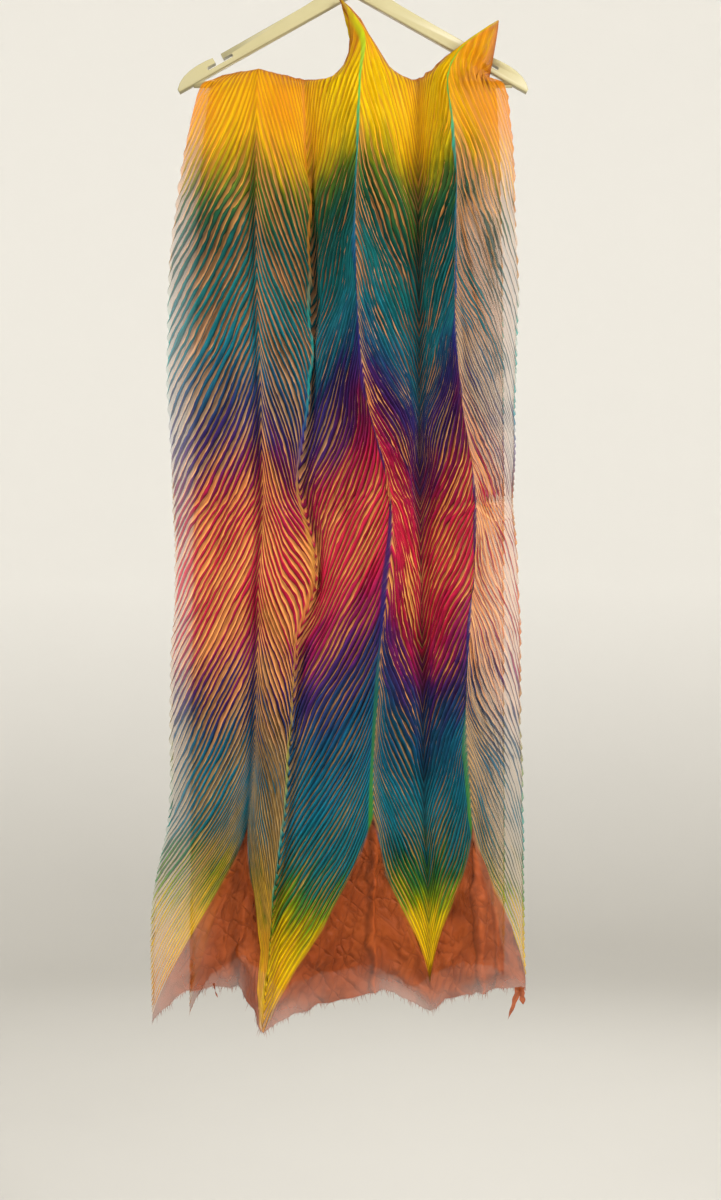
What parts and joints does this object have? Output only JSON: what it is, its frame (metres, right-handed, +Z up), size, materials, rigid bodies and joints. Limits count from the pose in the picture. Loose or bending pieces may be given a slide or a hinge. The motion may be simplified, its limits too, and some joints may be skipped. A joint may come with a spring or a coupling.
{
  "type": "pleated shibori silk cloth on a clothes hanger",
  "caption": "Long sheer pleated silk cloth, shibori dyed in rainbow bands, draped over the bar of a moulded plastic clothes hanger that hangs by its hook.",
  "frame": {"origin": "top of the inside of the hanger's hook, where it hangs on a rail or peg", "axes": "+Z up, +X to the viewer's right along the hanger's bar, +Y away from the viewer, towards the wall"},
  "size_m": [0.4498, 0.1058, 1.3439],
  "materials": {
    "silk": "sheer crisp pleated silk organza, dyed yellow, green, teal, indigo, magenta and coral",
    "hanger_plastic": "satin cream moulded plastic"
  },
  "bodies": {
    "root": {"silk_cloth": "silk", "hanger": "hanger_plastic"}
  },
  "joints": []
}
